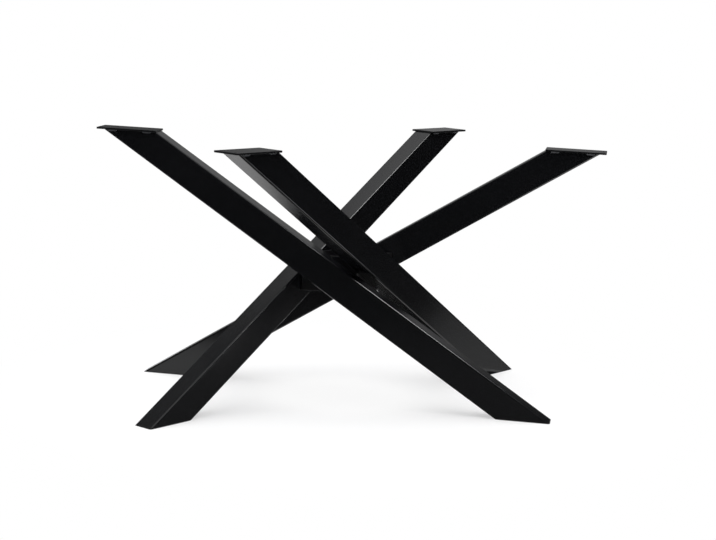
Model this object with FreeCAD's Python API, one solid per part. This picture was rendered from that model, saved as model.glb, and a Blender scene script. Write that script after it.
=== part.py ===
"""X shaped steel table base: four slanting box-section legs round a diamond core.

Millimetres, +Z up. The origin is on the floor under the middle of the base, and X runs along the long
diagonal of the core. Each leg leans along its own plan direction, lies with one wide face flat on one side
of the core and is bolted to it from the inside, so that the legs pass each other like a pinwheel.
"""
import os

import FreeCAD, Part
from FreeCAD import Vector
from math import cos, hypot, radians, sin, sqrt

# Whole base
TOTAL_HEIGHT = 720.0
LEG_RUN = 1115.0              # plan distance between the middles of a leg's level ends
PLAN_ANGLE = 30.0             # degrees between the X axis and each leg, seen from above

# Leg: rectangular hollow section with its wide faces upright
TUBE_WIDE = 80.0
TUBE_NARROW = 60.0
TUBE_WALL = 2.5
TUBE_INNER_RADIUS = 2.5

# Plate on top of each leg, longer at its outer end, where two bolts go up into the table top
PLATE_THICKNESS = 5.0
PLATE_INNER_MARGIN = 1.0      # past the tube, toward the middle of the base
PLATE_OUTER_MARGIN = 17.0     # past the tube, away from the middle of the base
PLATE_SIDE_MARGIN = 10.0      # past the tube, across the leg
PLATE_CORNER_RADIUS = 4.0
PLATE_EDGE_RADIUS = 0.8
PLATE_HOLE_RADIUS = 3.5
PLATE_HOLE_OFFSET = 8.5       # from the tube's outer end to the line of the holes
PLATE_HOLE_SPACING = 50.0     # across the leg

# Plate that closes the foot of each leg
FOOT_THICKNESS = 4.0

# Short weld beads between the top plate and the tube's wide faces
WELD_LEG = 5.0
WELD_STRAIGHT = 16.0          # between the round ends of a bead
WELD_INSET = 26.0             # from the tube's end to the middle of a bead

# Diamond core: two flat bars, each bent once, that meet at the sharp corners
CORE_HEIGHT = 100.0
CORE_DROP = 5.0               # of its middle below the middle of the legs
CORE_WALL = 6.0
CORE_INNER_RADIUS = 3.0       # inside of the bend
CORE_BLUNT = 4.0              # taken off each sharp corner
CORE_EDGE_RADIUS = 1.0
CORE_MARGIN = 4.0             # from the end of a leg's level section to the corner of the core

# Fasteners between the core and each leg
BOLT_RADIUS = 5.0
BOLT_SPACING = 60.0           # along the leg
BOLT_HEAD_FLATS = 16.0
BOLT_HEAD_HEIGHT = 6.4
BOLT_HOLE_CLEARANCE = 0.5
THREAD_ENGAGEMENT = 12.0
THREAD_CLEARANCE = 0.05
WASHER_RADIUS = 10.0
WASHER_THICKNESS = 2.0
BUSH_RADIUS = 8.0
BUSH_LENGTH = 16.0

# The side of the core, in X and in Y, that each leg lies on. A leg is named after the corner of its top.
LEGS = {
    "back_left": (-1, -1),
    "front_left": (1, -1),
    "back_right": (-1, 1),
    "front_right": (1, 1),
}

UP = Vector(0, 0, 1)
COS_PLAN = cos(radians(PLAN_ANGLE))
SIN_PLAN = sin(radians(PLAN_ANGLE))
PLATE_BOTTOM = TOTAL_HEIGHT - PLATE_THICKNESS
MIDDLE_HEIGHT = PLATE_BOTTOM / 2
LEG_LENGTH = hypot(LEG_RUN, PLATE_BOTTOM)
SECTION_LENGTH = TUBE_WIDE * LEG_LENGTH / PLATE_BOTTOM
TUBE_OUTER_RADIUS = TUBE_INNER_RADIUS + TUBE_WALL
CORE_SIDE = SECTION_LENGTH + 2 * CORE_MARGIN
CORE_HALF_LENGTH = CORE_SIDE * COS_PLAN
CORE_HALF_DEPTH = CORE_SIDE * SIN_PLAN
BOLT_HOLE_RADIUS = BOLT_RADIUS + BOLT_HOLE_CLEARANCE


class LegFrame:
    """Directions and points of one leg, worked out from the side of the core that it lies on."""

    def __init__(self, side_x, side_y):
        self.along = Vector(-side_y * COS_PLAN, side_x * SIN_PLAN, 0)
        self.outward = Vector(side_x * SIN_PLAN, side_y * COS_PLAN, 0)
        self.inward = self.outward * -1
        self.core_face = Vector(side_x * CORE_HALF_LENGTH / 2, side_y * CORE_HALF_DEPTH / 2, MIDDLE_HEIGHT)
        self.middle = self.core_face + self.outward * (TUBE_NARROW / 2)
        self.axis = (self.along * LEG_RUN - UP * PLATE_BOTTOM) * (1 / LEG_LENGTH)

    def at_height(self, height):
        """Point of the leg's axis at a height above the floor."""
        return self.middle + self.axis * ((height - MIDDLE_HEIGHT) / self.axis.z)

    def bolt_points(self):
        """Points on the outer face of the core that the bolts pass through, in line with the leg."""
        reach = BOLT_SPACING / 2
        return [self.core_face + self.axis * offset for offset in (-reach, reach)]


def place(shape, origin, x_axis, z_axis):
    """Copy of a shape, moved from the world's axes to a frame with this origin, X axis and Z axis."""
    moved = shape.copy()
    y_axis = z_axis.cross(x_axis)
    moved.Placement = FreeCAD.Placement(origin, FreeCAD.Rotation(x_axis, y_axis, z_axis, "ZXY"))
    return moved


def cylinder(radius, start, direction, length):
    return Part.makeCylinder(radius, length, start, direction)


def ring(outer_radius, inner_radius, start, direction, length):
    outer = cylinder(outer_radius, start, direction, length)
    return outer.cut(cylinder(inner_radius, start, direction, length))


def rounded_rectangle(length, width, radius):
    """Face in the XY plane, centred on the origin, with round corners."""
    corners = [(1, 1), (-1, 1), (-1, -1), (1, -1)]
    arcs = []
    for quarter, (sign_x, sign_y) in enumerate(corners):
        centre = Vector(sign_x * (length / 2 - radius), sign_y * (width / 2 - radius), 0)
        arcs.append(Part.makeCircle(radius, centre, UP, 90 * quarter, 90 * quarter + 90))
    edges = []
    for arc, following in zip(arcs, arcs[1:] + arcs[:1]):
        start = arc.valueAt(arc.LastParameter)
        end = following.valueAt(following.FirstParameter)
        edges.extend([arc, Part.makeLine(start, end)])
    return Part.Face(Part.Wire(edges))


def round_level_edges(solid, radius):
    """Round the edges that lie level, apart from those in the plane where the core's halves meet."""
    edges = []
    for edge in solid.Edges:
        middle = edge.valueAt((edge.FirstParameter + edge.LastParameter) / 2)
        if edge.BoundBox.ZLength < radius and abs(middle.y) > radius:
            edges.append(edge)
    return solid.makeFillet(radius, edges)


def level_layer(bottom, top):
    """Space between two heights, wider than the whole base."""
    reach = 2 * (LEG_RUN + SECTION_LENGTH + CORE_SIDE)
    return Part.makeBox(reach, reach, top - bottom, Vector(-reach / 2, -reach / 2, bottom))


def leg_bar(leg, wide, narrow, radius):
    """Solid bar along a leg, longer than the leg at both ends."""
    half = LEG_LENGTH / 2 + SECTION_LENGTH
    section = rounded_rectangle(wide, narrow, radius)
    section = place(section, leg.middle - leg.axis * half, leg.outward.cross(leg.axis), leg.axis)
    return section.extrude(leg.axis * (2 * half))


def make_tube(leg):
    """Box section cut level at both ends, with the holes that take the bushes."""
    outer = leg_bar(leg, TUBE_WIDE, TUBE_NARROW, TUBE_OUTER_RADIUS)
    inner = leg_bar(leg, TUBE_WIDE - 2 * TUBE_WALL, TUBE_NARROW - 2 * TUBE_WALL, TUBE_INNER_RADIUS)
    tube = outer.cut(inner).common(level_layer(FOOT_THICKNESS, PLATE_BOTTOM))
    for point in leg.bolt_points():
        tube = tube.cut(cylinder(BUSH_RADIUS, point, leg.outward, BUSH_LENGTH))
    return tube


def make_foot_plate(leg):
    """Flat plate with the outline of the tube, so that the leg's faces run on to the floor."""
    return leg_bar(leg, TUBE_WIDE, TUBE_NARROW, TUBE_OUTER_RADIUS).common(level_layer(0, FOOT_THICKNESS))


def make_top_plate(leg):
    """Flat plate in line with the leg, with two bolt holes where it stands out past the tube."""
    length = SECTION_LENGTH + PLATE_INNER_MARGIN + PLATE_OUTER_MARGIN
    width = TUBE_NARROW + 2 * PLATE_SIDE_MARGIN
    tube_end = leg.at_height(PLATE_BOTTOM)
    centre = tube_end + leg.along * ((PLATE_INNER_MARGIN - PLATE_OUTER_MARGIN) / 2)
    outline = place(rounded_rectangle(length, width, PLATE_CORNER_RADIUS), centre, leg.along, UP)
    plate = round_level_edges(outline.extrude(UP * PLATE_THICKNESS), PLATE_EDGE_RADIUS)
    hole_line = tube_end - leg.along * (SECTION_LENGTH / 2 + PLATE_HOLE_OFFSET)
    for direction in (leg.inward, leg.outward):
        hole = hole_line + direction * (PLATE_HOLE_SPACING / 2)
        plate = plate.cut(cylinder(PLATE_HOLE_RADIUS, hole, UP, PLATE_THICKNESS))
    return plate


def weld_bead():
    """Quarter-round bead with round ends along X, in the corner between the planes Y zero and Z zero."""
    half = WELD_STRAIGHT / 2
    capsule = cylinder(WELD_LEG, Vector(-half, 0, 0), Vector(1, 0, 0), WELD_STRAIGHT)
    for end in (-half, half):
        capsule = capsule.fuse(Part.makeSphere(WELD_LEG, Vector(end, 0, 0)))
    reach = half + WELD_LEG
    corner = Part.makeBox(2 * reach, WELD_LEG, WELD_LEG, Vector(-reach, 0, -WELD_LEG))
    return capsule.common(corner).removeSplitter()


def make_top_welds(leg):
    """Two beads in the corner of the plate and the tube, on each wide face."""
    bead = weld_bead()
    centre = leg.at_height(PLATE_BOTTOM)
    reach = SECTION_LENGTH / 2 - WELD_INSET
    beads = []
    for direction in (leg.inward, leg.outward):
        for offset in (-reach, reach):
            root = centre + direction * (TUBE_NARROW / 2) + leg.along * offset
            beads.append(place(bead, root, direction.cross(UP), UP))
    return Part.makeCompound(beads)


def make_bushes(leg):
    """Threaded bushes in the tube's wall, flush with the face that lies on the core."""
    bore = BOLT_RADIUS + THREAD_CLEARANCE
    return Part.makeCompound(
        [ring(BUSH_RADIUS, bore, point, leg.outward, BUSH_LENGTH) for point in leg.bolt_points()])


def make_washers(leg):
    """Plain washers on the inner face of the core."""
    seats = [point + leg.inward * CORE_WALL for point in leg.bolt_points()]
    return Part.makeCompound(
        [ring(WASHER_RADIUS, BOLT_HOLE_RADIUS, seat, leg.inward, WASHER_THICKNESS) for seat in seats])


def make_bolts(leg):
    """Hexagon bolts from inside the core, through its wall and into the bushes."""
    corner_radius = BOLT_HEAD_FLATS / sqrt(3)
    turns = [radians(60 * corner) for corner in range(7)]
    corners = [Vector(corner_radius * cos(turn), corner_radius * sin(turn), 0) for turn in turns]
    hexagon = Part.Face(Part.makePolygon(corners))
    under_head = WASHER_THICKNESS + CORE_WALL
    bolts = []
    for point in leg.bolt_points():
        seat = point + leg.inward * under_head
        head = place(hexagon, seat, leg.along, leg.inward).extrude(leg.inward * BOLT_HEAD_HEIGHT)
        shank = cylinder(BOLT_RADIUS, seat, leg.outward, under_head + THREAD_ENGAGEMENT)
        bolts.append(head.fuse(shank))
    return Part.makeCompound(bolts)


def core_outline(inset, radius):
    """Front half of the diamond, moved in by an inset, as a face with its wide corner rounded."""
    tip_x = CORE_HALF_LENGTH - inset / SIN_PLAN
    tip_y = CORE_HALF_DEPTH - inset / COS_PLAN
    left = Vector(-tip_x, 0, 0)
    right = Vector(tip_x, 0, 0)
    bend_x = radius * SIN_PLAN
    bend_y = -tip_y + radius * SIN_PLAN * SIN_PLAN / COS_PLAN
    bend_start = Vector(-bend_x, bend_y, 0)
    bend_end = Vector(bend_x, bend_y, 0)
    bend_middle = Vector(0, -tip_y + radius / COS_PLAN - radius, 0)
    return Part.Face(Part.Wire([
        Part.makeLine(left, bend_start),
        Part.Arc(bend_start, bend_middle, bend_end).toShape(),
        Part.makeLine(bend_end, right),
        Part.makeLine(right, left),
    ]))


def make_core_half(side_y):
    """Flat bar bent once at its middle, mitred at its ends to meet the other half."""
    outer = core_outline(0, CORE_INNER_RADIUS + CORE_WALL)
    bar = outer.cut(core_outline(CORE_WALL, CORE_INNER_RADIUS)).extrude(UP * CORE_HEIGHT)
    bar = round_level_edges(bar, CORE_EDGE_RADIUS)
    half_length = CORE_HALF_LENGTH - CORE_BLUNT
    bar = bar.common(Part.makeBox(
        2 * half_length, CORE_HALF_DEPTH, CORE_HEIGHT, Vector(-half_length, -CORE_HALF_DEPTH, 0)))
    bar.translate(UP * (MIDDLE_HEIGHT - CORE_DROP - CORE_HEIGHT / 2))
    if side_y > 0:
        bar.rotate(Vector(0, 0, 0), UP, 180)
    for leg in (LegFrame(-1, side_y), LegFrame(1, side_y)):
        for point in leg.bolt_points():
            bar = bar.cut(cylinder(BOLT_HOLE_RADIUS, point, leg.inward, CORE_WALL))
    return bar


def export(name, shape):
    shape.exportStep("parts/%s.step" % name)


os.makedirs("parts", exist_ok=True)
export("core_front", make_core_half(-1))
export("core_back", make_core_half(1))
for corner, sides in LEGS.items():
    leg = LegFrame(*sides)
    export("leg_" + corner, make_tube(leg))
    export("top_plate_" + corner, make_top_plate(leg))
    export("foot_plate_" + corner, make_foot_plate(leg))
    export("top_welds_" + corner, make_top_welds(leg))
    export("bushes_" + corner, make_bushes(leg))
    export("core_washers_" + corner, make_washers(leg))
    export("core_bolts_" + corner, make_bolts(leg))
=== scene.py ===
import math

import bmesh
import bpy
import numpy as np
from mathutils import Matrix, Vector


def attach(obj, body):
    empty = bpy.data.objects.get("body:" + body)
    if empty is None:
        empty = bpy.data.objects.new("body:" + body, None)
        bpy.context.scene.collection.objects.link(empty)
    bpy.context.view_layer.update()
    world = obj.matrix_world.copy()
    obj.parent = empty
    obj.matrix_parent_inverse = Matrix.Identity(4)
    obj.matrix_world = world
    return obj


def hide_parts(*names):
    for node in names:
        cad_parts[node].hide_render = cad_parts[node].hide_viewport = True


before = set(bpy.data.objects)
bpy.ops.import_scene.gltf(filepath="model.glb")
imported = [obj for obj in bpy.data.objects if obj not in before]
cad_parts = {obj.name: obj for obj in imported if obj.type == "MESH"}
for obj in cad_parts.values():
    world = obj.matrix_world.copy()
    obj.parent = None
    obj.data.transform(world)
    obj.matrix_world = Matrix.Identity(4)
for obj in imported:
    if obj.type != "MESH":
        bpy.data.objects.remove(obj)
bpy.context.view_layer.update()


# Legs: four lengths of rectangular steel tube, cut level at the floor and under the top plates.
# They lean past each other round the core. The steel is blasted, then sprayed with black powder
# that is baked to a thin satin film with a fine grain.
CORNERS = ("back_left", "front_left", "back_right", "front_right")
COAT_DARK = (0.0032, 0.0034, 0.0040, 1.0)
COAT_LIGHT = (0.0054, 0.0057, 0.0066, 1.0)
COAT_IOR = 1.45
GRAIN_SIZE = 0.0011
GRAIN_DETAIL = 2.0
GRAIN_DEPTH = 0.000012
GRAIN_SHARE = 0.6               # of the film's height; the rest is peel
PEEL_SIZE = 0.0065
PEEL_DETAIL = 1.0
CLOUD_SIZE = 0.16
CLOUD_DETAIL = 3.0
CLOUD_SHARE = 0.7               # of the film's roughness; the rest is grain
LEG_ROUGHNESS = (0.15, 0.23)    # where it is smoothest and where roughest


def new_group(name, inputs, outputs):
    """Empty shader node group with its input and output nodes; sockets are pairs of a name and a type."""
    group = bpy.data.node_groups.new(name, "ShaderNodeTree")
    for socket, kind in inputs:
        group.interface.new_socket(socket, in_out="INPUT", socket_type=kind)
    for socket, kind in outputs:
        group.interface.new_socket(socket, in_out="OUTPUT", socket_type=kind)
    return group, group.nodes.new("NodeGroupInput"), group.nodes.new("NodeGroupOutput")


def math_node(tree, operation, first, second):
    """Math node whose two operands are sockets or plain numbers; the result is its output socket."""
    node = tree.nodes.new("ShaderNodeMath")
    node.operation = operation
    for socket, value in zip(node.inputs, (first, second)):
        if isinstance(value, bpy.types.NodeSocket):
            tree.links.new(value, socket)
        else:
            socket.default_value = value
    return node.outputs["Value"]


def weighted_node(tree, share, first, second):
    """Sum of a share of the first value and the rest, 1 less the share, of the second."""
    first_part = math_node(tree, "MULTIPLY", first, share)
    second_part = math_node(tree, "MULTIPLY", second, 1.0 - share)
    return math_node(tree, "ADD", first_part, second_part)


def noise_node(tree, coordinates, size, detail):
    """Noise with lumps of about the size that a socket gives in metres; the result is its grey value."""
    node = tree.nodes.new("ShaderNodeTexNoise")
    node.inputs["Detail"].default_value = detail
    tree.links.new(coordinates, node.inputs["Vector"])
    tree.links.new(math_node(tree, "DIVIDE", 1.0, size), node.inputs["Scale"])
    return node.outputs["Fac"]


def blend_node(tree, amount, low, high):
    """Number that runs from low to high by an amount from 0 to 1; all three are sockets."""
    node = tree.nodes.new("ShaderNodeMapRange")
    for socket, value in (("Value", amount), ("To Min", low), ("To Max", high)):
        tree.links.new(value, node.inputs[socket])
    return node.outputs["Result"]


def make_baked_film():
    """Group for a baked powder film.

    Height is fine grain plus a weaker, wider orange peel. Roughness runs from Smoothest to Roughest by
    soft clouds with a little of the grain on top. Cloud is the clouds' own grey value, for the colour.
    """
    group, given, made = new_group(
        "baked_film",
        [("Coordinates", "NodeSocketVector"), ("Grain Size", "NodeSocketFloat"),
         ("Peel Size", "NodeSocketFloat"), ("Cloud Size", "NodeSocketFloat"),
         ("Smoothest", "NodeSocketFloat"), ("Roughest", "NodeSocketFloat")],
        [("Height", "NodeSocketFloat"), ("Roughness", "NodeSocketFloat"), ("Cloud", "NodeSocketFloat")])
    coordinates = given.outputs["Coordinates"]
    grain = noise_node(group, coordinates, given.outputs["Grain Size"], GRAIN_DETAIL)
    peel = noise_node(group, coordinates, given.outputs["Peel Size"], PEEL_DETAIL)
    cloud = noise_node(group, coordinates, given.outputs["Cloud Size"], CLOUD_DETAIL)
    height = weighted_node(group, GRAIN_SHARE, grain, peel)
    rough = weighted_node(group, CLOUD_SHARE, cloud, grain)
    rough = blend_node(group, rough, given.outputs["Smoothest"], given.outputs["Roughest"])
    group.links.new(height, made.inputs["Height"])
    group.links.new(rough, made.inputs["Roughness"])
    group.links.new(cloud, made.inputs["Cloud"])
    return group


BAKED_FILM = make_baked_film()


def new_finish(name):
    """Material with its node tree, its Principled shader and the piece's Object coordinates."""
    material = bpy.data.materials.new(name)
    material.use_nodes = True
    tree = material.node_tree
    shader = tree.nodes["Principled BSDF"]
    return material, tree, shader, tree.nodes.new("ShaderNodeTexCoord").outputs["Object"]


def place_group(tree, group, coordinates, values):
    """Outputs of a group node in a material, with its coordinates linked and its own values set."""
    node = tree.nodes.new("ShaderNodeGroup")
    node.node_tree = group
    tree.links.new(coordinates, node.inputs["Coordinates"])
    for socket, value in values.items():
        node.inputs[socket].default_value = value
    return node.outputs


def colour_ramp(tree, amount, dark, light):
    """Colour that runs from dark to light by an amount from 0 to 1."""
    node = tree.nodes.new("ShaderNodeMix")
    node.data_type = "RGBA"
    tree.links.new(amount, node.inputs["Factor"])
    node.inputs["A"].default_value = dark
    node.inputs["B"].default_value = light
    return node.outputs["Result"]


def add_bump(tree, shader, height, depth):
    """Bump of this depth in metres on the shader's normal."""
    bump = tree.nodes.new("ShaderNodeBump")
    bump.inputs["Distance"].default_value = depth
    tree.links.new(height, bump.inputs["Height"])
    tree.links.new(bump.outputs["Normal"], shader.inputs["Normal"])


def make_powder_coat(name, roughness, grain_depth, dark=COAT_DARK, light=COAT_LIGHT):
    """Black powder coat of one roughness range and grain depth, in the legs' colours or others."""
    material, tree, shader, coordinates = new_finish(name)
    smoothest, roughest = roughness
    film = place_group(tree, BAKED_FILM, coordinates, {
        "Grain Size": GRAIN_SIZE, "Peel Size": PEEL_SIZE, "Cloud Size": CLOUD_SIZE,
        "Smoothest": smoothest, "Roughest": roughest})
    tree.links.new(colour_ramp(tree, film["Cloud"], dark, light), shader.inputs["Base Color"])
    tree.links.new(film["Roughness"], shader.inputs["Roughness"])
    add_bump(tree, shader, film["Height"], grain_depth)
    shader.inputs["IOR"].default_value = COAT_IOR
    return material


def set_finish(node, material):
    """Give a CAD node this material in all of its slots."""
    for material_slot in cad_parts[node].material_slots:
        material_slot.material = material


leg_coat = make_powder_coat("leg_powder_coat", LEG_ROUGHNESS, GRAIN_DEPTH)
for corner in CORNERS:
    set_finish("leg_" + corner, leg_coat)


# Foot plates: flat steel with the tube's own outline, welded into the foot of each leg and ground
# flush before coating, so that the faces run on to the floor. The coat is a little rubbed there.
FOOT_ROUGHNESS = (0.18, 0.28)
foot_coat = make_powder_coat("foot_powder_coat", FOOT_ROUGHNESS, GRAIN_DEPTH)
for corner in CORNERS:
    set_finish("foot_plate_" + corner, foot_coat)


# Core: two flat bars, each bent once, that close into a diamond between the legs.
# They are coated before the legs are bolted on, and their coat is duller than the legs'.
CORE_ROUGHNESS = (0.28, 0.38)
core_coat = make_powder_coat("core_powder_coat", CORE_ROUGHNESS, GRAIN_DEPTH)
for bar in ("core_front", "core_back"):
    set_finish(bar, core_coat)


# Top plates: flat bar welded on the upper end of each leg, longer than the tube at its outer end,
# with two holes there for the bolts that go up into the table top.
PLATE_ROUGHNESS = (0.22, 0.32)
PLATE_GRAIN_DEPTH = 0.000015
plate_coat = make_powder_coat("plate_powder_coat", PLATE_ROUGHNESS, PLATE_GRAIN_DEPTH)
for corner in CORNERS:
    set_finish("top_plate_" + corner, plate_coat)


# Weld beads: two short stitches under each top plate on either wide face of the tube, run with a wire
# welder. Each is a row of overlapping crescents of steel that froze one after the other. The coat is
# thinner on them, which makes them a little lighter than the legs, and their colour is lighter still as a
# painted highlight for the glints the beads catch.
LEG_SIDES = {
    "back_left": (-1, -1), "front_left": (1, -1),
    "back_right": (-1, 1), "front_right": (1, 1)}
PLAN_ANGLE = math.radians(30)
LEG_RUN = 1.115
TUBE_TOP = 0.715
TUBE_WIDE = 0.080
TUBE_NARROW = 0.060
CORE_MARGIN = 0.004
LEG_LENGTH = math.hypot(LEG_RUN, TUBE_TOP)
SECTION_LENGTH = TUBE_WIDE * LEG_LENGTH / TUBE_TOP
CORE_SIDE = SECTION_LENGTH + 2 * CORE_MARGIN
UP = np.array([0.0, 0.0, 1.0])
WELD_LEG = 0.005
WELD_STRAIGHT = 0.016
WELD_INSET = 0.026
WELD_PITCH = 0.0029
WELD_RELIEF = 0.16              # depth between crescents, as a share of the radius
WELD_BOW = 0.45                 # of a pitch, at the edges of a bead
WELD_END = 0.05                 # least share of the radius, at the ends
WELD_STOP = 0.998               # share of the reach at which the end rows stand
WELD_ROWS = 97
WELD_COLUMNS = 17
WELD_FACES = (-1, 1)            # inner and outer wide face of the tube
WELD_PLACES = (-1, 1)           # towards the lower and the upper narrow face
WELD_SEED = 11
WELD_ROUGHNESS = (0.24, 0.34)
WELD_GRAIN_DEPTH = 0.00003
# Thinner coat, lightened further as a painted highlight of the beads' glints.
THIN_COAT_GLINT_DARK = (0.020, 0.021, 0.024, 1.0)
THIN_COAT_GLINT_LIGHT = (0.060, 0.062, 0.068, 1.0)
SHARP_EDGE = math.radians(32)


def leg_directions(corner):
    """Plan direction of a leg from top to foot, its outward normal, and its middle on the core's face."""
    side_x, side_y = LEG_SIDES[corner]
    cosine = math.cos(PLAN_ANGLE)
    sine = math.sin(PLAN_ANGLE)
    along = np.array([-side_y * cosine, side_x * sine, 0.0])
    outward = np.array([side_x * sine, side_y * cosine, 0.0])
    core_face = np.array([side_x * cosine, side_y * sine, 0.0]) * CORE_SIDE / 2
    return along, outward, core_face + UP * TUBE_TOP / 2


def closed_grids(name, grids, ring_rows=False):
    """Mesh of several like grids of points, each rows by columns by three.

    Columns close on themselves. Rows close too, as on a washer, or else end in a flat cap at each end.
    Normals are turned outwards, and faces are smooth but for edges sharper than SHARP_EDGE.
    """
    rows, columns = grids[0].shape[:2]
    index = np.arange(rows * columns).reshape(rows, columns)
    index = np.concatenate([index, index[:, :1]], axis=1)
    if ring_rows:
        index = np.concatenate([index, index[:1]], axis=0)
    quads = np.stack([index[:-1, :-1], index[1:, :-1], index[1:, 1:], index[:-1, 1:]], axis=-1)
    quads = quads.reshape(-1, 4)
    starts = np.arange(len(grids)) * rows * columns
    faces = (quads[None] + starts[:, None, None]).reshape(-1, 4).tolist()
    if not ring_rows:
        caps = np.stack([index[0, :-1], index[-1, :-1]])
        faces += (caps[None] + starts[:, None, None]).reshape(-1, columns).tolist()
    mesh = bpy.data.meshes.new(name)
    mesh.from_pydata(np.concatenate(grids).reshape(-1, 3).tolist(), [], faces)
    shell = bmesh.new()
    shell.from_mesh(mesh)
    bmesh.ops.recalc_face_normals(shell, faces=shell.faces)
    shell.to_mesh(mesh)
    shell.free()
    mesh.shade_smooth()
    mesh.set_sharp_from_angle(angle=SHARP_EDGE)
    return mesh


def add_piece(name, mesh, material, node):
    """Piece at the origin that rides on the base, stands for a CAD node and takes a slot's finish."""
    piece = bpy.data.objects.new(name, mesh)
    mesh.materials.append(material)
    bpy.context.scene.collection.objects.link(piece)
    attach(piece, "root")
    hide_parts(node)


def weld_bead(root, along, away, start):
    """Quarter-round bead in the corner of the tube's face and the plate, as a closed grid.

    The distance r from the root line is the leg size, times a round end sqrt(1 - e^2) where e runs from
    0 to 1 over each end, times 1 less a relief that is deepest between the crescents. A crescent's phase
    is the place along the bead over the pitch, plus a part that grows with the square of the angle from
    the bead's middle line, so that the crescents bow. Each section is the arc, closed over the root.
    The rows lie closer together towards the ends, as the sine of an even angle.
    """
    reach = WELD_STRAIGHT / 2 + WELD_LEG
    place = np.sin(np.linspace(-np.pi / 2, np.pi / 2, WELD_ROWS))[:, None] * reach * WELD_STOP
    angle = np.linspace(0, np.pi / 2, WELD_COLUMNS)[None, :]
    end = np.clip((np.abs(place) - WELD_STRAIGHT / 2) / WELD_LEG, 0, 1)
    bow = (angle / (np.pi / 4) - 1) ** 2
    crescent = np.abs(np.cos(np.pi * (place / WELD_PITCH + start + WELD_BOW * bow)))
    radius = WELD_LEG * np.maximum(np.sqrt(1 - end ** 2), WELD_END) * (1 - WELD_RELIEF * (1 - crescent))
    out = np.concatenate([radius * np.sin(angle), np.zeros_like(place)], axis=1)
    down = np.concatenate([radius * np.cos(angle), np.zeros_like(place)], axis=1)
    place = np.broadcast_to(place, out.shape)
    return root + place[..., None] * along + out[..., None] * away - down[..., None] * UP


weld_coat = make_powder_coat(
    "weld_coat_painted_glint", WELD_ROUGHNESS, WELD_GRAIN_DEPTH, THIN_COAT_GLINT_DARK, THIN_COAT_GLINT_LIGHT)
weld_counts = (len(CORNERS), len(WELD_FACES), len(WELD_PLACES))
weld_starts = np.random.default_rng(WELD_SEED).uniform(0, 1, weld_counts)
for corner, leg_starts in zip(CORNERS, weld_starts):
    along, outward, middle = leg_directions(corner)
    tube_end = middle + outward * TUBE_NARROW / 2 - along * LEG_RUN / 2 + UP * TUBE_TOP / 2
    beads = []
    for face, face_starts in zip(WELD_FACES, leg_starts):
        for offset, start in zip(WELD_PLACES, face_starts):
            root = tube_end + face * outward * TUBE_NARROW / 2
            root = root + offset * along * (SECTION_LENGTH / 2 - WELD_INSET)
            beads.append(weld_bead(root, along, face * outward, start))
    name = "weld_beads_" + corner
    add_piece(name, closed_grids(name, beads), weld_coat, "top_welds_" + corner)


# Bushes: round steel turned on a lathe, threaded, and welded into the tube's wall where it lies on the
# core. They are left bare, with fine tool marks.
STEEL_DARK = (0.34, 0.34, 0.35, 1.0)
STEEL_LIGHT = (0.50, 0.50, 0.50, 1.0)
STEEL_ROUGHNESS = (0.28, 0.45)
STEEL_MARK_SIZE = 0.0004
STEEL_MARK_DEPTH = 0.00002
STEEL_CLOUD_SIZE = 0.006
MARK_DETAIL = 3.0
METAL_CLOUD_DETAIL = 2.0
METAL_CLOUD_SHARE = 0.75        # of the tint; the rest is marks


def make_bare_metal():
    """Group for metal that was turned or plated.

    Height is noise of about the mark size. Tint is soft clouds broken up by the same marks, and Roughness
    runs from Smoothest to Roughest by the tint.
    """
    group, given, made = new_group(
        "bare_metal",
        [("Coordinates", "NodeSocketVector"),
         ("Mark Size", "NodeSocketFloat"), ("Cloud Size", "NodeSocketFloat"),
         ("Smoothest", "NodeSocketFloat"), ("Roughest", "NodeSocketFloat")],
        [("Height", "NodeSocketFloat"), ("Roughness", "NodeSocketFloat"), ("Tint", "NodeSocketFloat")])
    coordinates = given.outputs["Coordinates"]
    marks = noise_node(group, coordinates, given.outputs["Mark Size"], MARK_DETAIL)
    cloud = noise_node(group, coordinates, given.outputs["Cloud Size"], METAL_CLOUD_DETAIL)
    tint = weighted_node(group, METAL_CLOUD_SHARE, cloud, marks)
    rough = blend_node(group, tint, given.outputs["Smoothest"], given.outputs["Roughest"])
    group.links.new(marks, made.inputs["Height"])
    group.links.new(rough, made.inputs["Roughness"])
    group.links.new(tint, made.inputs["Tint"])
    return group


BARE_METAL = make_bare_metal()


def make_metal(name, dark, light, roughness, mark_size, mark_depth, cloud_size):
    """Bare or plated metal of one roughness range, with marks of one size and depth."""
    material, tree, shader, coordinates = new_finish(name)
    smoothest, roughest = roughness
    metal = place_group(tree, BARE_METAL, coordinates, {
        "Mark Size": mark_size, "Cloud Size": cloud_size, "Smoothest": smoothest, "Roughest": roughest})
    tree.links.new(colour_ramp(tree, metal["Tint"], dark, light), shader.inputs["Base Color"])
    tree.links.new(metal["Roughness"], shader.inputs["Roughness"])
    add_bump(tree, shader, metal["Height"], mark_depth)
    shader.inputs["Metallic"].default_value = 1.0
    return material


turned_steel = make_metal(
    "turned_steel", STEEL_DARK, STEEL_LIGHT, STEEL_ROUGHNESS,
    STEEL_MARK_SIZE, STEEL_MARK_DEPTH, STEEL_CLOUD_SIZE)
for corner in CORNERS:
    set_finish("bushes_" + corner, turned_steel)


# Washers: stamped steel rings, zinc plated, whose edges are slightly rounded by the barrel they are
# finished in. They lie on the inner faces of the core under the bolt heads.
ZINC_DARK = (0.44, 0.46, 0.50, 1.0)
ZINC_LIGHT = (0.68, 0.68, 0.67, 1.0)
ZINC_ROUGHNESS = (0.22, 0.38)
ZINC_MARK_SIZE = 0.0005
ZINC_MARK_DEPTH = 0.00001
ZINC_CLOUD_SIZE = 0.005
CORE_WALL = 0.006
BOLT_SPACING = 0.060
BOLT_HOLE_RADIUS = 0.0055
WASHER_RADIUS = 0.010
WASHER_THICKNESS = 0.002
WASHER_ROUND = 0.0004
WASHER_SECTION_POINTS = 20
POINTS_PER_TURN = 72


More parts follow.
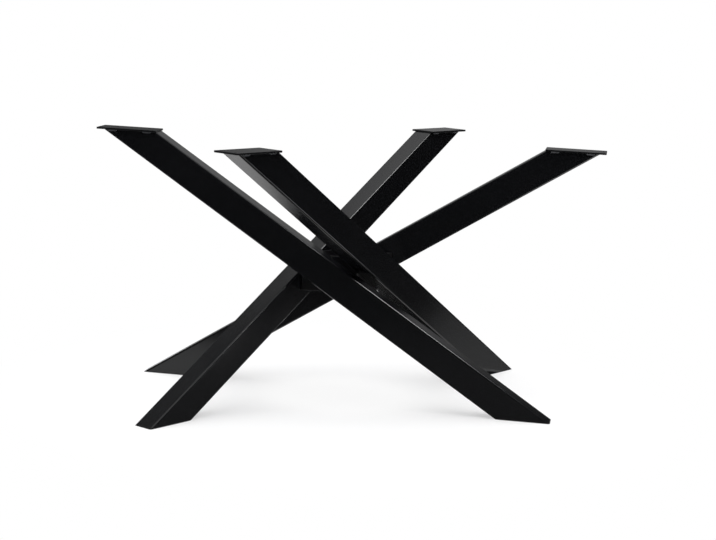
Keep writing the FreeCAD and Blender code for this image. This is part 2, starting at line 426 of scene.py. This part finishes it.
def bolt_points(corner):
    """The two points where a leg's bolts cross the outer face of the core, in line with the leg."""
    along, _, middle = leg_directions(corner)
    axis = (along * LEG_RUN - UP * TUBE_TOP) / LEG_LENGTH
    return [middle - axis * BOLT_SPACING / 2, middle + axis * BOLT_SPACING / 2]


def turned_points(radius, height, turn, seat, across, direction):
    """Points at a radius, a height along an axis and a turn about it, from a seat on that axis."""
    aside = np.cross(direction, across)
    return (seat + (radius * np.cos(turn))[..., None] * across + (radius * np.sin(turn))[..., None] * aside
            + height[..., None] * direction)


def washer(seat, across, inward):
    """Ring as a closed grid: a rectangle with round corners, carried round the bolt's axis.

    The section's points are the corners' centres plus the rounding radius times the cosine and sine of an
    angle that goes once round. It starts half a step off, so that no point lies between two corners.
    """
    angle = (np.arange(WASHER_SECTION_POINTS) + 0.5) * 2 * np.pi / WASHER_SECTION_POINTS
    half_width = (WASHER_RADIUS - BOLT_HOLE_RADIUS) / 2
    half_height = WASHER_THICKNESS / 2
    radius = (WASHER_RADIUS + BOLT_HOLE_RADIUS) / 2 + np.sign(np.cos(angle)) * (half_width - WASHER_ROUND)
    radius = radius + WASHER_ROUND * np.cos(angle)
    height = half_height + np.sign(np.sin(angle)) * (half_height - WASHER_ROUND)
    height = height + WASHER_ROUND * np.sin(angle)
    turn = np.linspace(0, 2 * np.pi, POINTS_PER_TURN, endpoint=False)[:, None]
    turn, radius, height = np.broadcast_arrays(turn, radius[None], height[None])
    return turned_points(radius, height, turn, seat, across, inward)


zinc_plate = make_metal(
    "zinc_plate", ZINC_DARK, ZINC_LIGHT, ZINC_ROUGHNESS,
    ZINC_MARK_SIZE, ZINC_MARK_DEPTH, ZINC_CLOUD_SIZE)
for corner in CORNERS:
    along, outward, _ = leg_directions(corner)
    rings = [washer(point - outward * CORE_WALL, along, -outward) for point in bolt_points(corner)]
    name = "washers_" + corner
    mesh = closed_grids(name, rings, ring_rows=True)
    add_piece(name, mesh, zinc_plate, "core_washers_" + corner)


# Bolts: hexagon bolts threaded to the head, cold forged and zinc plated. They go from inside the core
# through its wall and into the bushes, and their heads have a chamfered top and a round washer face.
BOLT_RADIUS = 0.005
BOLT_GRIP = 0.020
BOLT_TIP = 0.0008
THREAD_PITCH = 0.0015
THREAD_DEPTH = 0.0007
TIP_DEPTH = 1.2 * THREAD_DEPTH
SHANK_ROWS = 121
HEAD_FLATS = 0.016
HEAD_HEIGHT = 0.0064
HEAD_FACE_HEIGHT = 0.0004
HEAD_FACE_RADIUS = 0.0075
HEAD_TOP_RADIUS = 0.0074
CHAMFER_SLOPE = math.tan(math.radians(30))
CHAMFER_ROWS = 9


def bolt(seat, across, inward):
    """Hexagon bolt as a closed grid of rows along its axis, from the head's top to the tip.

    Head: the lesser of a hexagon, half the flats over the cosine of the angle from the nearest flat, and
    a chamfer cone. Under it is the round washer face. Shank: the bolt's radius less the thread's depth
    times a triangle wave of the height over the pitch minus the turn, which is a helix. Over the tip the
    radius also stays within a taper.
    """
    turn = np.linspace(0, 2 * np.pi, POINTS_PER_TURN, endpoint=False)[None, :]
    from_flat = np.mod(turn, np.pi / 3) - np.pi / 6
    hexagon = HEAD_FLATS / 2 / np.cos(from_flat)
    chamfer_end = HEAD_HEIGHT - (HEAD_FLATS / math.sqrt(3) - HEAD_TOP_RADIUS) * CHAMFER_SLOPE
    head_height = np.linspace(HEAD_HEIGHT, chamfer_end, CHAMFER_ROWS)
    head_height = np.append(head_height, HEAD_FACE_HEIGHT)[:, None]
    head_radius = np.minimum(hexagon, HEAD_TOP_RADIUS + (HEAD_HEIGHT - head_height) / CHAMFER_SLOPE)
    face_height = np.array([HEAD_FACE_HEIGHT, 0.0])[:, None]
    face_radius = np.full((len(face_height), turn.size), HEAD_FACE_RADIUS)
    shank_height = -np.linspace(0, BOLT_GRIP, SHANK_ROWS)[:, None]
    wave = np.abs(2 * np.mod(shank_height / THREAD_PITCH - turn / (2 * np.pi), 1) - 1)
    taper = np.clip((-shank_height - (BOLT_GRIP - BOLT_TIP)) / BOLT_TIP, 0, 1)
    shank_radius = BOLT_RADIUS - np.maximum(THREAD_DEPTH * wave, TIP_DEPTH * taper)
    height = np.concatenate([head_height, face_height, shank_height])
    radius = np.concatenate([head_radius, face_radius, shank_radius])
    turn, height = np.broadcast_arrays(turn, height)
    return turned_points(radius, height, turn, seat, across, inward)


under_head = CORE_WALL + WASHER_THICKNESS
for corner in CORNERS:
    along, outward, _ = leg_directions(corner)
    pair = [bolt(point - outward * under_head, along, -outward) for point in bolt_points(corner)]
    name = "bolts_" + corner
    add_piece(name, closed_grids(name, pair), zinc_plate, "core_bolts_" + corner)


# Floor: a pale sweep of studio paper. It shows white to the camera and to whatever mirrors it, keeps a
# weak shadow of the base, and fades into the white room towards its edge.
FLOOR_REACH = 3.0
FLOOR_WHITE = (0.94, 0.94, 0.94, 1.0)
PAPER_ROUGHNESS = 0.9
FLOOR_GLOW = 0.50
MIDDLE_GLOW = 0.85
MIDDLE_FADE = (0.15, 0.34)
EDGE_FADE = (0.45, 1.0)
SHEET_POINTS = 9


def flat_grid(x_low, x_high, y_low, y_high, height):
    """Level sheet as an even grid, with SHEET_POINTS points each way."""
    x, y = np.meshgrid(np.linspace(x_low, x_high, SHEET_POINTS), np.linspace(y_low, y_high, SHEET_POINTS))
    return np.stack([x, y, np.full_like(x, height)], axis=-1)


def add_stage(name, points, material):
    """Sheet of the studio, which isn't part of the object, from an open grid of points."""
    rows, columns = points.shape[:2]
    index = np.arange(rows * columns).reshape(rows, columns)
    quads = np.stack([index[:-1, :-1], index[:-1, 1:], index[1:, 1:], index[1:, :-1]], axis=-1)
    mesh = bpy.data.meshes.new(name)
    mesh.from_pydata(points.reshape(-1, 3).tolist(), [], quads.reshape(-1, 4).tolist())
    mesh.materials.append(material)
    sheet = bpy.data.objects.new(name, mesh)
    bpy.context.scene.collection.objects.link(sheet)
    return sheet


def seen_directly(tree):
    """Value of 1 on rays from the camera, from a gloss or through glass, and of 0 on all others."""
    path = tree.nodes.new("ShaderNodeLightPath").outputs
    gloss_or_glass = math_node(tree, "ADD", path["Is Glossy Ray"], path["Is Transmission Ray"])
    seen = math_node(tree, "ADD", path["Is Camera Ray"], gloss_or_glass)
    return math_node(tree, "MINIMUM", seen, 1.0)


def mix_shaders(tree, amount, first, second, output):
    """Mix of two shaders by an amount, led to the material's or the world's surface."""
    mix = tree.nodes.new("ShaderNodeMixShader")
    tree.links.new(amount, mix.inputs["Fac"])
    tree.links.new(first, mix.inputs[1])
    tree.links.new(second, mix.inputs[2])
    tree.links.new(mix.outputs["Shader"], tree.nodes[output].inputs["Surface"])


def smooth_step(tree, value, ends, levels):
    """Number that goes smoothly from the first level to the second as the value goes from end to end."""
    step = tree.nodes.new("ShaderNodeMapRange")
    step.interpolation_type = "SMOOTHSTEP"
    tree.links.new(value, step.inputs["Value"])
    for socket, number in zip(("From Min", "From Max", "To Min", "To Max"), (*ends, *levels)):
        step.inputs[socket].default_value = number
    return step.outputs["Result"]


def from_middle(tree, coordinates):
    """Distance from the middle of the set."""
    length = tree.nodes.new("ShaderNodeVectorMath")
    length.operation = "LENGTH"
    tree.links.new(coordinates, length.inputs[0])
    return length.outputs["Value"]


def make_paper():
    """White paper that glows where it is seen directly.

    The glow is least in the ring round the feet, stronger in the middle, where it paints light over the
    base's shade under the crossing, and full towards the edge. It is the greater of two smooth steps of
    the distance from the middle.
    """
    material, tree, shader, coordinates = new_finish("studio_paper")
    shader.inputs["Base Color"].default_value = FLOOR_WHITE
    shader.inputs["Roughness"].default_value = PAPER_ROUGHNESS
    distance = from_middle(tree, coordinates)
    inner = smooth_step(tree, distance, MIDDLE_FADE, (MIDDLE_GLOW, FLOOR_GLOW))
    outer = smooth_step(tree, distance, EDGE_FADE, (FLOOR_GLOW, 1.0))
    amount = math_node(tree, "MULTIPLY", seen_directly(tree), math_node(tree, "MAXIMUM", inner, outer))
    glow = tree.nodes.new("ShaderNodeEmission").outputs["Emission"]
    mix_shaders(tree, amount, shader.outputs["BSDF"], glow, "Material Output")
    return material


floor = flat_grid(-FLOOR_REACH, FLOOR_REACH, -FLOOR_REACH, FLOOR_REACH, 0.0)
add_stage("studio_floor", floor, make_paper())


# Room: the bare studio round the set. It is white where it is seen directly, and gives the object a plain
# half-light from all sides.
ROOM_WHITE = (1.0, 1.0, 1.0, 1.0)
ROOM_LIGHT = (0.45, 0.45, 0.46, 1.0)
world = bpy.data.worlds.new("white_room")
bpy.context.scene.world = world
world.use_nodes = True
room_light = world.node_tree.nodes["Background"]
room_light.inputs["Color"].default_value = ROOM_LIGHT
room_white = world.node_tree.nodes.new("ShaderNodeBackground")
room_white.inputs["Color"].default_value = ROOM_WHITE
mix_shaders(
    world.node_tree, seen_directly(world.node_tree), room_light.outputs["Background"],
    room_white.outputs["Background"], "World Output")


# Cloths: drapes round the set and dark cloths on its floor, as a studio hangs them to keep a black product
# black. They glow dimly with painted light, brighter on parts of the drape and round the floor near the
# set.
# A dark card under the base is painted shade there, and a white card at the front right glows with painted
# light that draws a bright line on one leg's lower edge.
# Only the coat's gloss meets them: they cast no shade and the camera looks past.
DRAPE_RADIUS = 4.0
GROUND_RADIUS = 4.4
DRAPE_HEIGHT = 4.72
DRAPE_RISE = 0.1
CLOTH_DARK = 0.012
BACK_LIGHT = 0.13
BACK_BEARING = math.radians(-30)
BACK_REACH = (1.2, 2.6)
SPOT_LIGHT = 0.22
SPOT_BEARING = math.radians(30)
SPOT_REACH = (3.75, 4.0)
POOL_MIDDLE = (-0.15, 0.10)
POOL_RADIUS = 0.76
POOL_LIGHT = 0.42
POOL_FADE = 3.3
FRONT_EDGE = -0.1
FRONT_LIGHT = 0.13
FRONT_FADE = (0.7, 1.6)
# The white card glows with painted light, which a leg's lower edge mirrors as a bright line.
GLOW_CARD_WIDTH = (0.42, 1.20)
GLOW_CARD_DEPTH = (-1.00, -0.42)
GLOW_CARD_LIGHT = 3.0
GLOW_CARD_HEIGHT = 0.003
# The dark card is painted shade on the floor under the base, seen only in the coat's gloss.
SHADE_CARD_WIDTH = (-0.02, 0.58)
SHADE_CARD_DEPTH = (0.10, 0.42)
GROUND_HEIGHT = 0.001
UPPER_HEIGHT = 0.002            # of the front cloth and the dark card
RING_POINTS = 73
RING_ROWS = 5


def toward(tree, coordinates, bearing):
    """Distance from the middle of the set along one bearing."""
    place = tree.nodes.new("ShaderNodeVectorMath")
    place.operation = "DOT_PRODUCT"
    place.inputs[1].default_value = (math.sin(bearing), math.cos(bearing), 0.0)
    tree.links.new(coordinates, place.inputs[0])
    return place.outputs["Value"]


def new_cloth(name):
    """Material that only glows, with its node tree, its glow's strength and its Object coordinates."""
    material, tree, shader, coordinates = new_finish(name)
    tree.nodes.remove(shader)
    glow = tree.nodes.new("ShaderNodeEmission")
    tree.links.new(glow.outputs["Emission"], tree.nodes["Material Output"].inputs["Surface"])
    return material, tree, glow.inputs["Strength"], coordinates


def make_drape():
    """Cloth with a dim glow of painted light, lighter towards the back left, and lighter again in one
    narrow painted spot at the back right.
    """
    material, tree, strength, coordinates = new_cloth("drape")
    to_back = toward(tree, coordinates, BACK_BEARING)
    to_spot = toward(tree, coordinates, SPOT_BEARING)
    back = smooth_step(tree, to_back, BACK_REACH, (CLOTH_DARK, BACK_LIGHT))
    spot = smooth_step(tree, to_spot, SPOT_REACH, (0.0, SPOT_LIGHT))
    tree.links.new(math_node(tree, "ADD", back, spot), strength)
    return material


def make_ground_cloth(name, ends, light):
    """Cloth whose glow of painted light goes from light to dark as the distance from the set's middle goes
    from end to end.
    """
    material, tree, strength, coordinates = new_cloth(name)
    distance = from_middle(tree, coordinates)
    tree.links.new(smooth_step(tree, distance, ends, (light, CLOTH_DARK)), strength)
    return material


def make_even_cloth(name, light):
    """Cloth or card of one even light."""
    material, _, strength, _ = new_cloth(name)
    strength.default_value = light
    return material


turn, share = np.meshgrid(np.linspace(0, 2 * np.pi, RING_POINTS), np.linspace(0, 1, RING_ROWS))
ring_x = np.sin(turn)
ring_y = np.cos(turn)
drape_top = DRAPE_HEIGHT + DRAPE_RISE * DRAPE_RADIUS * np.abs(ring_x)
drape = np.stack([DRAPE_RADIUS * ring_x, DRAPE_RADIUS * ring_y, drape_top * share], axis=-1)
reach = POOL_RADIUS + (GROUND_RADIUS - POOL_RADIUS) * share
ground_x = POOL_MIDDLE[0] + reach * ring_x
ground_y = POOL_MIDDLE[1] + reach * ring_y
ground = np.stack([ground_x, ground_y, np.full_like(reach, GROUND_HEIGHT)], axis=-1)
ground_cloth = make_ground_cloth("ground_cloth", (POOL_RADIUS, POOL_FADE), POOL_LIGHT)
front = flat_grid(-DRAPE_RADIUS, DRAPE_RADIUS, -DRAPE_RADIUS, FRONT_EDGE, UPPER_HEIGHT)
front_cloth = make_ground_cloth("front_cloth", FRONT_FADE, FRONT_LIGHT)
# Painted shade: a dark card where the base shades the floor.
shade_card = flat_grid(*SHADE_CARD_WIDTH, *SHADE_CARD_DEPTH, UPPER_HEIGHT)
# Painted light: a glowing white card at the front right.
glow_card = flat_grid(*GLOW_CARD_WIDTH, *GLOW_CARD_DEPTH, GLOW_CARD_HEIGHT)
for name, points, material in (
        ("dark_drape", drape, make_drape()),
        ("dark_ground_cloth", ground, ground_cloth),
        ("dark_front_cloth", front, front_cloth),
        ("shade_card", shade_card, make_even_cloth("painted_shade_black", CLOTH_DARK)),
        ("glow_card", glow_card, make_even_cloth("glow_card", GLOW_CARD_LIGHT))):
    cloth = add_stage(name, points, material)
    cloth.visible_camera = False
    cloth.visible_diffuse = False
    cloth.visible_transmission = False
    cloth.visible_shadow = False


# Lamps: a large softbox overhead and a weaker one on the left light the base and its soft shadow.
# A third, at the front right, shows only in the gloss and draws the bright lines on the upper edges.
# Each has its name, place, size, power in watts, and whether it shows only in the gloss.
LAMP_AIM = Vector((0.0, 0.0, 0.3))
LAMPS = (
    ("softbox_top", (0.0, 0.0, 2.4), (3.6, 3.2), 78.0, False),
    ("softbox_left", (-2.4, -0.2, 1.7), (1.2, 1.2), 8.0, False),
    ("softbox_front", (1.15, -1.0, 2.4), (1.1, 0.7), 40.0, True),
)
for name, place, size, power, gloss_only in LAMPS:
    lamp_data = bpy.data.lights.new(name, "AREA")
    lamp_data.shape = "RECTANGLE"
    lamp_data.size, lamp_data.size_y = size
    lamp_data.energy = power
    lamp = bpy.data.objects.new(name, lamp_data)
    lamp.location = place
    lamp.rotation_euler = (LAMP_AIM - lamp.location).to_track_quat("-Z", "Y").to_euler()
    lamp.visible_glossy = gloss_only
    lamp.visible_diffuse = not gloss_only
    bpy.context.scene.collection.objects.link(lamp)


# Camera: where the photograph was taken from, worked out from the lines of the legs.
# It looks slightly down, with a small roll, and the frame is 716 by 540 pixels.
CAMERA_PLACE = (-1.6530, -4.3461, 1.1307)
CAMERA_YAW = math.radians(21.204)
CAMERA_PITCH = math.radians(-9.448)
CAMERA_ROLL = math.radians(2.919)
FOCAL_PIXELS = 1698.7
FRAME_WIDTH = 716
SENSOR_WIDTH = 36.0
forward = np.array([
    math.sin(CAMERA_YAW) * math.cos(CAMERA_PITCH),
    math.cos(CAMERA_YAW) * math.cos(CAMERA_PITCH),
    math.sin(CAMERA_PITCH)])
level = np.array([math.cos(CAMERA_YAW), -math.sin(CAMERA_YAW), 0.0])
upright = np.cross(level, forward)
right = math.cos(CAMERA_ROLL) * level + math.sin(CAMERA_ROLL) * upright
up = math.cos(CAMERA_ROLL) * upright - math.sin(CAMERA_ROLL) * level
pose = np.eye(4)
pose[:3, :] = np.stack([right, up, -forward, np.array(CAMERA_PLACE)], axis=-1)
camera_data = bpy.data.cameras.new("camera")
camera_data.sensor_width = SENSOR_WIDTH
camera_data.lens = FOCAL_PIXELS * SENSOR_WIDTH / FRAME_WIDTH
camera = bpy.data.objects.new("camera", camera_data)
camera.matrix_world = pose.T.tolist()
bpy.context.scene.collection.objects.link(camera)
bpy.context.scene.camera = camera
bpy.context.scene.view_settings.view_transform = "Standard"
